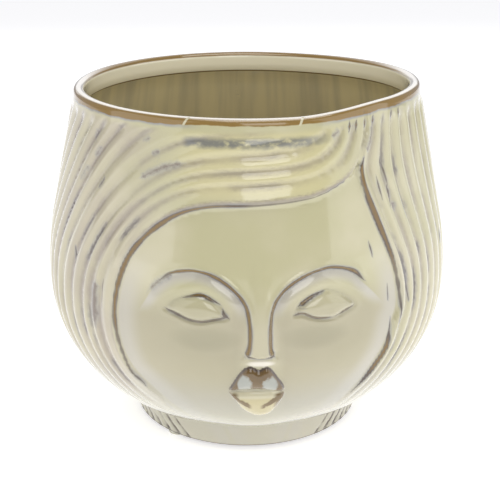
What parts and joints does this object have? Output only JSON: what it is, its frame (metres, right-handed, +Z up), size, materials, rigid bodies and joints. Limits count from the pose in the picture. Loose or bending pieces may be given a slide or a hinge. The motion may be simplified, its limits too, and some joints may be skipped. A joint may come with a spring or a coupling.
{
  "type": "head planter",
  "caption": "Round glazed stoneware cover pot shaped as a stylised head, with swept hair in relief, a rolled lip and stick-on foot pads, for holding a potted plant.",
  "frame": {"origin": "on the pot's axis, at the level of the table that the foot pads stand on", "axes": "+Z up along the pot's axis, the face looks along -Y, +X to the viewer's right"},
  "size_m": [0.196, 0.1978, 0.1676],
  "materials": {
    "reactive_glaze": "glossy cream reactive glaze that breaks brown on the rim and on raised edges",
    "foot_pad": "soft pale translucent bumper"
  },
  "bodies": {
    "root": {"pot": "reactive_glaze", "front_left_foot_pad": "foot_pad", "right_foot_pad": "foot_pad", "rear_foot_pad": "foot_pad"}
  },
  "joints": []
}
